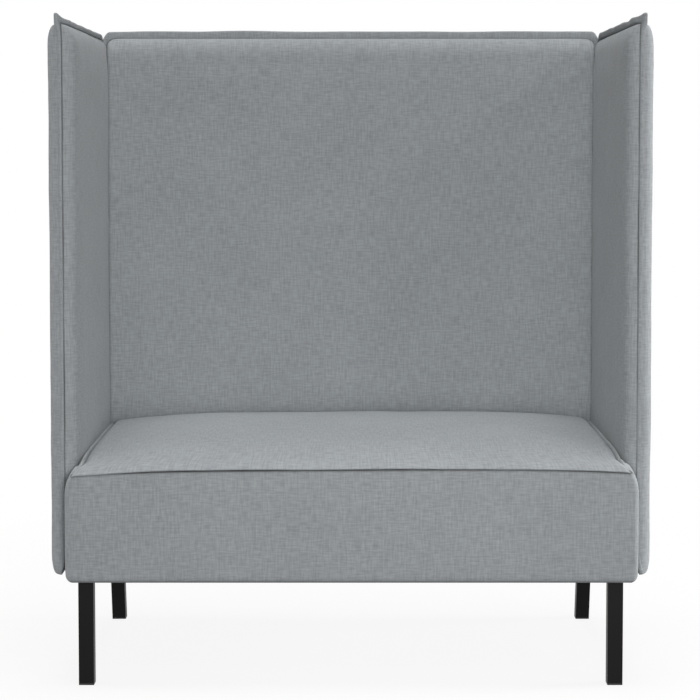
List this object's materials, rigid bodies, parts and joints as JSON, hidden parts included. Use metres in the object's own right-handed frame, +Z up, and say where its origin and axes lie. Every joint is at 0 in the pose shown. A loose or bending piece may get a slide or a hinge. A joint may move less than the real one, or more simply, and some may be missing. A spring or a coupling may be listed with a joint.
{
  "type": "high-back two-seater sofa",
  "caption": "Upholstered two-seat sofa with a tall back and tall side panels that screen the sitters, flat welted edges and square black steel legs.",
  "frame": {"origin": "on the floor under the middle of the sofa", "axes": "+Z up, -Y towards the front where people sit down, +X to the right as seen from the front"},
  "size_m": [1.27, 0.732, 1.404],
  "materials": {
    "dust_cloth": "black non-woven cloth",
    "felt_pad": "needled felt",
    "foam": "cut foam",
    "frame_timber": "planed, unfinished",
    "glide_plastic": "black moulded",
    "hardboard": "pressed board",
    "leg_steel": "black satin powder coat",
    "spring_steel": "drawn wire",
    "upholstery_fabric": "light grey melange weave, matt",
    "welt_fabric": "the same weave, folded double",
    "zinc_steel": "zinc plated"
  },
  "bodies": {
    "root": {"back_bottom_rail": "frame_timber", "back_front_board": "hardboard", "back_front_cover": "upholstery_fabric", "back_front_foam": "foam", "back_left_post": "frame_timber", "back_rear_board": "hardboard", "back_rear_cover": "upholstery_fabric", "back_rear_foam": "foam", "back_right_post": "frame_timber", "back_top_rail": "frame_timber", "back_welt": "welt_fabric", "corner_dowels": "zinc_steel", "dust_cover": "dust_cloth", "front_left_leg": "leg_steel", "front_leg_glides": "glide_plastic", "front_right_leg": "leg_steel", "left_bottom_rail": "frame_timber", "left_front_post": "frame_timber", "left_inner_board": "hardboard", "left_inner_cover": "upholstery_fabric", "left_inner_foam": "foam", "left_outer_board": "hardboard", "left_outer_cover": "upholstery_fabric", "left_outer_foam": "foam", "left_rear_post": "frame_timber", "left_top_rail": "frame_timber", "left_welt": "welt_fabric", "leg_bolts": "zinc_steel", "leg_tee_nuts": "zinc_steel", "panel_bolt_sleeves": "zinc_steel", "panel_bolts": "zinc_steel", "panel_tee_nuts": "zinc_steel", "rear_left_leg": "leg_steel", "rear_leg_glides": "glide_plastic", "rear_right_leg": "leg_steel", "right_bottom_rail": "frame_timber", "right_front_post": "frame_timber", "right_inner_board": "hardboard", "right_inner_cover": "upholstery_fabric", "right_inner_foam": "foam", "right_outer_board": "hardboard", "right_outer_cover": "upholstery_fabric", "right_outer_foam": "foam", "right_rear_post": "frame_timber", "right_top_rail": "frame_timber", "right_welt": "welt_fabric", "seat_border_cover": "upholstery_fabric", "seat_centre_rail": "frame_timber", "seat_corner_blocks": "frame_timber", "seat_foam": "foam", "seat_front_rail": "frame_timber", "seat_left_rail": "frame_timber", "seat_rear_rail": "frame_timber", "seat_right_rail": "frame_timber", "seat_spring_clips": "spring_steel", "seat_spring_pad": "felt_pad", "seat_springs": "spring_steel", "seat_top_cover": "upholstery_fabric"}
  },
  "joints": []
}
